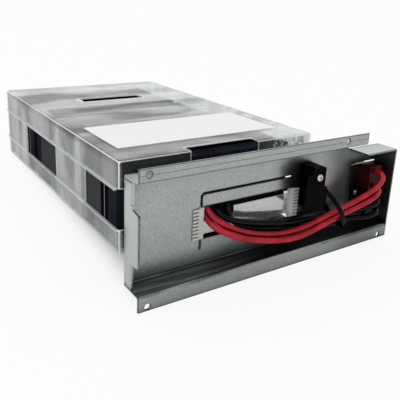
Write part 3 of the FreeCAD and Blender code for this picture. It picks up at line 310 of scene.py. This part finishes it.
def lead(name, route, diameter, material):
    """A lead as one curve through its route's points, in place of its CAD tube."""
    line = bpy.data.curves.new(name + "_line", "CURVE")
    line.dimensions = "3D"
    line.bevel_depth = diameter / 2
    line.bevel_resolution = 6
    line.resolution_u = 10
    line.use_fill_caps = True
    spline = line.splines.new("NURBS")
    spline.points.add(len(route) - 1)
    for point, (x, y, z) in zip(spline.points, route):
        point.co = (x * MM + FRAME_END, y * MM, z * MM + LEDGE_TOP, 1.0)
    spline.order_u = 3
    spline.use_endpoint_u = True
    line.materials.append(material)
    piece = bpy.data.objects.new(name + "_flex", line)
    scene.collection.objects.link(piece)
    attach(piece, "root")
    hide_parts(name)


red_pvc = insulation("red_pvc", "3C050B", "9A1020", "BC1A2C", 0.2, 0.3)
black_pvc = insulation("black_pvc", "000000", "010102", "040405", 0.12, 0.14)
lead("red_lead_1", [
    (76.2, 30.9, 66.0), (76.2, 30.9, 60.0), (77.6, 30.2, 54.8), (79.4, 26.6, 51.0), (80.2, 22.0, 47.8),
    (82.4, 17.0, 43.6), (88.4, 13.0, 38.6), (98.0, 11.0, 33.0), (117.6, 10.0, 24.0), (141.9, 9.6, 17.6),
    (166.2, 9.0, 15.0), (191.1, 8.0, 17.9), (216.7, 6.6, 25.0), (243.8, 4.4, 31.9), (261.0, 1.6, 38.2),
    (271.0, -0.9, 44.0), (276.6, -2.2, 49.6), (279.4, -2.2, 54.0), (280.4, -0.3, 57.6), (280.8, 3.3, 59.6),
    (280.8, 8.0, 59.6)],
    LEAD, red_pvc)
lead("red_lead_2", [
    (70.0, 30.9, 66.0), (70.0, 30.9, 59.0), (72.6, 30.4, 52.0), (77.3, 27.6, 46.0), (78.4, 22.6, 41.8),
    (79.2, 17.0, 38.6), (83.4, 11.0, 35.2), (91.0, 6.6, 31.0), (100.0, 4.8, 26.8), (113.7, 4.0, 21.8),
    (134.8, 3.4, 15.9), (156.1, 3.4, 11.9), (179.2, 3.6, 11.3), (205.5, 3.8, 16.9), (235.2, 3.6, 23.9),
    (254.0, 1.2, 28.4), (265.0, -1.4, 33.0), (272.4, -2.3, 37.2), (276.2, -1.8, 40.0), (279.2, 0.7, 42.2),
    (281.0, 4.4, 43.4), (281.0, 8.0, 43.4)],
    LEAD, red_pvc)
lead("black_lead_1", [
    (98.2, 30.9, 66.0), (98.2, 30.9, 60.0), (95.2, 30.2, 54.6), (91.4, 27.4, 51.8), (88.4, 23.6, 49.9),
    (88.4, 20.0, 47.2), (91.6, 17.2, 43.9), (97.6, 15.6, 40.2), (106.0, 15.0, 36.6), (121.2, 15.2, 32.0),
    (135.7, 15.4, 28.4), (164.3, 14.8, 23.0), (189.9, 14.4, 20.6), (211.0, 13.4, 20.6),
    (232.0, 12.0, 20.2), (252.0, 7.2, 21.2), (264.5, 1.0, 24.2), (273.0, -2.1, 27.4), (276.9, -1.4, 29.4),
    (280.0, 1.2, 30.8), (281.4, 5.0, 31.6), (281.4, 8.0, 31.6)],
    LEAD, black_pvc)
lead("black_lead_2", [
    (104.4, 30.9, 66.0), (104.4, 30.9, 59.5), (103.8, 30.0, 53.6), (102.4, 26.8, 49.2), (101.4, 23.0, 44.6),
    (102.0, 22.0, 39.8), (107.4, 20.4, 33.6), (115.5, 19.4, 28.6), (124.1, 18.6, 25.4), (138.0, 17.4, 21.4),
    (165.2, 15.6, 16.4), (190.0, 13.2, 14.6), (211.0, 10.8, 15.0), (232.0, 9.6, 14.2), (252.0, 5.8, 13.6),
    (264.5, 1.0, 14.0), (273.0, -2.1, 16.6), (276.9, -1.4, 18.0), (280.0, 1.2, 19.2), (281.4, 5.0, 19.8),
    (281.4, 8.0, 19.8)],
    LEAD, black_pvc)


# ---- link leads ------------------------------------------------------------------------------
# Thinner black leads that join the blocks in series. They lie between the rows of blocks and along
# the free channel on the right, and each end is crimped in a receptacle.

LINK = 4.5 * MM
lead("link_lead_front", [
    (11.2, 30.9, 66.0), (11.2, 30.9, 50.0), (14.0, 30.9, 38.0), (22.0, 30.8, 32.0), (36.0, 30.6, 30.5),
    (100.0, 30.8, 29.9), (165.0, 30.6, 30.5), (179.0, 31.0, 30.8), (187.0, 34.5, 31.4), (190.0, 44.0, 32.0),
    (190.0, 140.0, 33.0), (190.0, 225.0, 34.0), (189.0, 236.0, 34.5), (184.0, 241.0, 35.0),
    (174.0, 241.5, 35.5), (100.0, 241.5, 36.0), (32.0, 241.5, 37.0), (20.0, 241.2, 39.0),
    (13.5, 240.2, 44.0), (11.4, 239.2, 52.0), (11.2, 238.9, 58.0), (11.2, 238.9, 66.0)],
    LINK, black_pvc)
lead("link_lead_back", [
    (11.2, 245.4, 66.0), (11.2, 245.4, 57.0), (14.5, 245.3, 50.0), (23.0, 245.0, 47.0), (40.0, 244.5, 46.0),
    (90.0, 244.0, 46.0), (135.0, 244.5, 46.0), (151.0, 245.0, 47.0), (160.0, 245.3, 50.0),
    (163.4, 245.4, 57.0), (163.4, 245.4, 66.0)],
    LINK, black_pvc)
lead("link_lead_right", [
    (163.4, 30.9, 66.0), (163.4, 30.9, 59.0), (166.5, 30.9, 53.0), (173.0, 31.0, 50.5), (180.0, 31.2, 50.0),
    (187.0, 34.5, 50.0), (190.0, 44.0, 50.0), (190.0, 140.0, 48.0), (190.0, 225.0, 50.0),
    (189.0, 236.0, 50.5), (184.0, 241.5, 51.0), (176.0, 242.0, 52.0), (169.0, 241.0, 54.5),
    (164.6, 239.6, 58.0), (163.4, 238.9, 61.5), (163.4, 238.9, 66.0)],
    LINK, black_pvc)


# ---- clear shells ----------------------------------------------------------------------------
# Two half shells of thin clear plastic, drawn warm over a mould and cut round their rims. The lower
# one holds the blocks, and the upper one stands on its rim and is open at the sides.

SHELL_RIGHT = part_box("upper_shell")[1][0]
cuts = {opening["name"]: opening["box_m"] for opening in frame["record"]["physics"]["openings"]}
SLOT = cuts["hand_slot"]
RECESS = cuts["front_recess"]
RIM_HEIGHTS = [LEDGE_TOP + height * MM for height in (47.3, 80.0, 82.0)]
TOP_FACE = (LEDGE_TOP + 103 * MM, LEDGE_TOP + 108 * MM)
FRONT_WALL = (25 * MM, 40 * MM)
WINDOW_BAND = (LEDGE_TOP + 33 * MM, LEDGE_TOP + 80 * MM)
PILLARS = ((94 * MM, 170.5 * MM), (268 * MM, 353 * MM))
STILES = [y * MM for y in (31, 94, 170.5, 268, 336)]


def round_cut(tree, spot, cut, side, end):
    """1 on the shell's top face over a cut and a margin round it, and 0 elsewhere."""
    return region(tree, spot, Z=TOP_FACE, X=(cut[0][0] - side, cut[1][0] + side),
                  Y=(cut[0][1] - end, cut[1][1] + end))


# Thermoformed clear sheet: flat walls stay clear and mirror the room at a shallow angle, and the
# sheet turns milky where it was stretched, at the pillars of the sides. Painted highlights, a white
# haze, lie along its corners, rims, creases, window edges and the lips of the hand slot and recess.
shell_sheet, tree, shader = new_material("thermoformed_clear_polyester")
place = add(tree, "TexCoord").outputs["Object"]
spot = add(tree, "SeparateXYZ", Vector=place).outputs
normal = add(tree, "SeparateXYZ", Vector=add(tree, "NewGeometry").outputs["True Normal"]).outputs
stretch = add(tree, "Mapping", Vector=place, Scale=(0.009 / MM, 0.026 / MM, 0.009 / MM),
              Rotation=(0.0, 0.0, 0.12))
cloud = add(tree, "TexNoise", Vector=stretch, Scale=1.0, Detail=4.0, Distortion=0.6)

# Where the sheet is milky or carries painted highlights, each as a share from 0 to 1.
rims = joined(tree, "MAXIMUM", *[region(tree, spot, Z=(z - 0.5 * MM, z + 0.5 * MM)) for z in RIM_HEIGHTS])
stiles = joined(tree, "MAXIMUM", *[region(tree, spot, Y=(y - 0.6 * MM, y + 0.6 * MM)) for y in STILES])
stiles = joined(tree, "MULTIPLY", stiles, region(tree, spot, Z=WINDOW_BAND))
turned = [add(tree, "Math", operation="ABSOLUTE", i0=normal[axis]) for axis in "XYZ"]
rounded = add(tree, "MapRange", Value=joined(tree, "MAXIMUM", *turned), **span(0.84, 0.76))
recess_lip = region(tree, spot, Z=TOP_FACE, X=(RECESS[0][0] - 1.5 * MM, RECESS[1][0] + 1.5 * MM),
                    Y=(RECESS[1][1] - 1 * MM, RECESS[1][1] + 1.5 * MM))
slot_rim = round_cut(tree, spot, SLOT, 2.8 * MM, 4.6 * MM)
shell_edge_highlights = joined(tree, "MAXIMUM", rounded, edge_share(tree, 0.9 * MM), recess_lip, slot_rim)
left_side = past(tree, spot, ("X", FRAME_END - 1.0 * MM, FRAME_END - 3.4 * MM), ("Z", 112 * MM, 108 * MM))
pillars = joined(tree, "MAXIMUM", *[region(tree, spot, Y=limits) for limits in PILLARS])
streaky = add(tree, "MapRange", Value=cloud, **span(*MIDDLE, 0.14, 0.36))
drawn = joined(tree, "MAXIMUM", joined(tree, "MULTIPLY", pillars, streaky), 0.08)
drawn = joined(tree, "MULTIPLY", left_side, drawn)
clouds = add(tree, "MapRange", Value=cloud, **span(0.40, 0.66, 0.01, 0.14))
right_wall = joined(tree, "MULTIPLY", past(tree, spot, ("X", SHELL_RIGHT - 3 * MM, SHELL_RIGHT - 1 * MM)),
                    add(tree, "MapRange", Value=spot["Y"], **span(30 * MM, 110 * MM, 0.1, 1.0)))
far_walls = joined(tree, "MAXIMUM", right_wall, past(tree, spot, ("Y", 348 * MM, 350 * MM)))
far_streaks = add(tree, "MapRange", Value=cloud, **span(*MIDDLE, 0.28, 0.6))
behind_window = region(tree, spot, Y=FRONT_WALL, X=(-92 * MM, 30 * MM),
                       Z=(LEDGE_TOP, LEDGE_TOP + 80 * MM))
crumbs = add(tree, "TexNoise", Vector=place, Scale=0.26 / MM, Detail=3.0)
front_corner = region(tree, spot, X=(4 * MM, 42 * MM), Y=(20 * MM, 40 * MM), Z=(95 * MM, 120 * MM))
crumpled = joined(tree, "MULTIPLY", add(tree, "MapRange", Value=crumbs, **span(0.5, 0.58)), front_corner)
haze = joined(tree, "MAXIMUM", joined(tree, "ADD", drawn, clouds),
              joined(tree, "MULTIPLY", crumpled, 0.7), joined(tree, "MULTIPLY", rims, 0.5),
              joined(tree, "MULTIPLY", stiles, 0.6), joined(tree, "MULTIPLY", shell_edge_highlights, 0.8),
              joined(tree, "MULTIPLY", far_walls, far_streaks),
              joined(tree, "MULTIPLY", behind_window, 0.3))
milk_and_highlights = layered(tree, colour("BFC2C3"), (far_walls, "8E9192"), (shell_edge_highlights, "F6F8F8"))
connect(tree, shader, Base_Color=milk_and_highlights, Roughness=0.3)

# Where it mirrors: more at a shallow angle, less in a calm band across the top.
wave_place = add(tree, "Mapping", Vector=place, Scale=(0.014 / MM, 0.03 / MM, 0.014 / MM))
wave = add(tree, "TexNoise", Vector=wave_place, Scale=1.0, Detail=3.0)
relief = add(tree, "Bump", Height=wave, Strength=0.35, Distance=3.0 * MM)
gloss = add(tree, "BsdfPrincipled", Base_Color=(1, 1, 1, 1), Metallic=1.0, Roughness=0.1, Normal=relief)
open_air = add(tree, "BsdfTransparent", Color=colour("F4F6F6"))
grazing = add(tree, "LayerWeight", Blend=0.5, Normal=relief).outputs["Facing"]
steep = add(tree, "Math", operation="POWER", i0=grazing, i1=4.5)
swirl = add(tree, "MapRange", Value=cloud, **span(*MIDDLE, 0.36, 0.84))
mirror = add(tree, "Math", operation="MULTIPLY_ADD", i0=steep, i1=swirl, i2=0.03)
calm = past(tree, spot, ("Y", 190 * MM, 193 * MM), ("Y", 224 * MM, 221 * MM),
            ("X", -146 * MM, -142 * MM), ("X", 50 * MM, 44 * MM))
calmed = add(tree, "Math", operation="MULTIPLY_ADD", i0=calm, i1=-0.45, i2=1.0)
mirror = joined(tree, "MAXIMUM", joined(tree, "MULTIPLY", mirror, calmed),
                joined(tree, "MULTIPLY", behind_window, 0.4))

# A clear margin round the hand slot makes the slot look wider than it is cut.
slot_margin = round_cut(tree, spot, SLOT, 1.2 * MM, 2.8 * MM)
kept = joined(tree, "SUBTRACT", 1.0, slot_margin)
milky = add(tree, "MixShader", i0=joined(tree, "MULTIPLY", haze, kept), i1=open_air, i2=shader)
clear = add(tree, "MixShader", i0=joined(tree, "MULTIPLY", mirror, kept), i1=milky, i2=gloss)
connect(tree, tree.nodes["Material Output"], Surface=clear)
wear(shell_sheet, "upper_shell", "lower_shell")


# ---- label and foam tape -----------------------------------------------------------------------
# A blank film label is stuck on the upper shell, and strips of foam tape on the frame's lip keep
# the pack from rattling against it.

# Printable film, coated white, which gives it a flat, slightly satin look.
film, tree, shader = new_material("white_polyester_film")
place = add(tree, "TexCoord").outputs["Object"]
mottle = add(tree, "TexNoise", Vector=place, Scale=0.2 / MM, Detail=2.0)
connect(tree, shader, Base_Color=layered(tree, colour("DFDFDE"), (mottle, "E5E5E4")), Roughness=0.45)
wear(film, "top_label")

# Blown foam, with open cells about 0.6 mm wide at the cut face, so it looks dull and speckled.
foam, tree, shader = new_material("grey_polyethylene_foam")
place = add(tree, "TexCoord").outputs["Object"]
cells = add(tree, "TexVoronoi", Vector=place, Scale=1.6 / MM)
connect(tree, shader, Base_Color=layered(tree, colour("2E2F31"), (cells, "55575A")), Roughness=0.9)
wear(foam, "foam_tape")


# ---- cable holder and tie --------------------------------------------------------------------
# A moulded holder is screwed to the panel over the leads, and a nylon strap through its eye goes
# round all four of them.

wear(moulding("black_polyamide", "020203", "050506", 0.20, shine=0.02), "cable_holder")
wear(moulding("black_nylon", "020203", "050506", 0.18, 1.5 / MM, 0.06), "cable_tie")


# ---- power connectors ------------------------------------------------------------------------
# Two moulded housings, red above black, sit in the bay with their silvered copper contacts facing
# back, so that they meet the cabinet's own as the cartridge slides in.

# Painted shade: the red housing is coloured a near-black red, for the deep bay it sits in.
wear(moulding("red_polycarbonate", "2E0307", "42070C", 0.30), "red_connector")
wear(black_polycarbonate, "black_connector")
wear(plated("silver_plated_copper", "B8956E", "D2B48E", 0.24), "connector_contacts")


# ---- screws ----------------------------------------------------------------------------------
# Pan head steel screws, zinc plated: one holds the cable holder, and one the connectors.

wear(plated("zinc_plated_steel", "C9B8B2", "E6D6D0", 0.20), "holder_screw", "connector_screw")


# ---- floor, light and camera -----------------------------------------------------------------
# The cartridge stands on the lower flange and on the pack's rear edge, so the floor is tilted
# against it. One soft light stands above on the left, in a room that is brighter at the back.

FLANGE_EDGE = -3.8 * MM
FLOOR_GAP = 0.4 * MM
PACK_LENGTH = 351.2 * MM
PACK_UNDER = 36.7 * MM
HALF_FLOOR = 4.0
tilt = math.atan2(PACK_UNDER - FLANGE_EDGE, PACK_LENGTH)
corners = [Matrix.Rotation(tilt, 3, "X") @ Vector((x * HALF_FLOOR, y * HALF_FLOOR, 0))
           + Vector((0, 0, FLANGE_EDGE - FLOOR_GAP)) for x, y in ((-1, -1), (1, -1), (1, 1), (-1, 1))]
floor_mesh = bpy.data.meshes.new("floor")
floor_mesh.from_pydata(corners, [], [(0, 1, 2, 3)])
floor = bpy.data.objects.new("floor", floor_mesh)
scene.collection.objects.link(floor)

# Matt white paper. The camera sees most of it as plain white, with a faint shadow, and all of its
# own shading only under the pack.
paper, tree, shader = new_material("matt_white_paper")
connect(tree, shader, Base_Color=colour("F0F0F0"), Roughness=0.9)
spot = add(tree, "SeparateXYZ", Vector=add(tree, "TexCoord").outputs["Object"]).outputs
under_pack = past(tree, spot, ("X", -150 * MM, -100 * MM), ("X", 70 * MM, 40 * MM),
                  ("Y", 10 * MM, 40 * MM), ("Y", 345 * MM, 300 * MM))
plain = add(tree, "Math", operation="SUBTRACT", i0=0.85, i1=under_pack, use_clamp=True)
seen = add(tree, "LightPath").outputs["Is Camera Ray"]
white = add(tree, "Emission", Color=(1, 1, 1, 1), Strength=1.0)
choice = add(tree, "MixShader", i0=joined(tree, "MULTIPLY", seen, plain), i1=shader, i2=white)
connect(tree, tree.nodes["Material Output"], Surface=choice)
floor_mesh.materials.append(paper)

# The camera sees a white room. Every other ray sees a grey one, brighter at the back and left.
world = bpy.data.worlds.new("studio")
world.use_nodes = True
scene.world = world
tree = world.node_tree
towards = add(tree, "SeparateXYZ", Vector=add(tree, "TexCoord").outputs["Generated"]).outputs
back = add(tree, "MapRange", Value=towards["Y"], **span(-0.6, 0.7, 0.62, 1.12))
left = add(tree, "MapRange", Value=towards["X"], **span(0.3, -0.7, 0.0, 0.3))
seen = add(tree, "LightPath").outputs["Is Camera Ray"]
glow = add(tree, "Mix", data_type="FLOAT", i0=seen, i2=joined(tree, "ADD", back, left), i3=1.0)
connect(tree, tree.nodes["Background"], Color=(1, 1, 1, 1), Strength=glow)

KEY_PLACE = Vector((-0.7, -0.5, 1.3))
KEY_TARGET = Vector((0, 0.1, 0.05))
lamp = bpy.data.lights.new("key", "AREA")
lamp.size = 0.9
lamp.energy = 3.5
key = bpy.data.objects.new("key", lamp)
key.location = KEY_PLACE
key.rotation_euler = (KEY_TARGET - KEY_PLACE).to_track_quat("-Z", "Y").to_euler()
scene.collection.objects.link(key)

CAMERA_PLACE = Vector((-0.31765, -0.3276, 0.2407))
AZIMUTH = math.radians(-33.84)
ELEVATION = math.radians(16.39)
ROLL = math.radians(2.35)
ahead = Vector((-math.sin(AZIMUTH) * math.cos(ELEVATION), math.cos(AZIMUTH) * math.cos(ELEVATION),
                -math.sin(ELEVATION)))
right = ahead.cross(Vector((0, 0, 1))).normalized()
upward = right.cross(ahead)
turned_right = math.cos(ROLL) * right + math.sin(ROLL) * upward
turned_up = -math.sin(ROLL) * right + math.cos(ROLL) * upward
lens = bpy.data.cameras.new("camera")
lens.sensor_width = 36.0
lens.lens = 48.03
lens.shift_x = 0.0075
lens.shift_y = -0.125
lens.clip_start = 0.01
camera = bpy.data.objects.new("camera", lens)
facing = Matrix((turned_right, turned_up, -ahead)).transposed().to_4x4()
camera.matrix_world = Matrix.Translation(CAMERA_PLACE) @ facing
scene.collection.objects.link(camera)
scene.camera = camera
scene.view_settings.view_transform = "Standard"
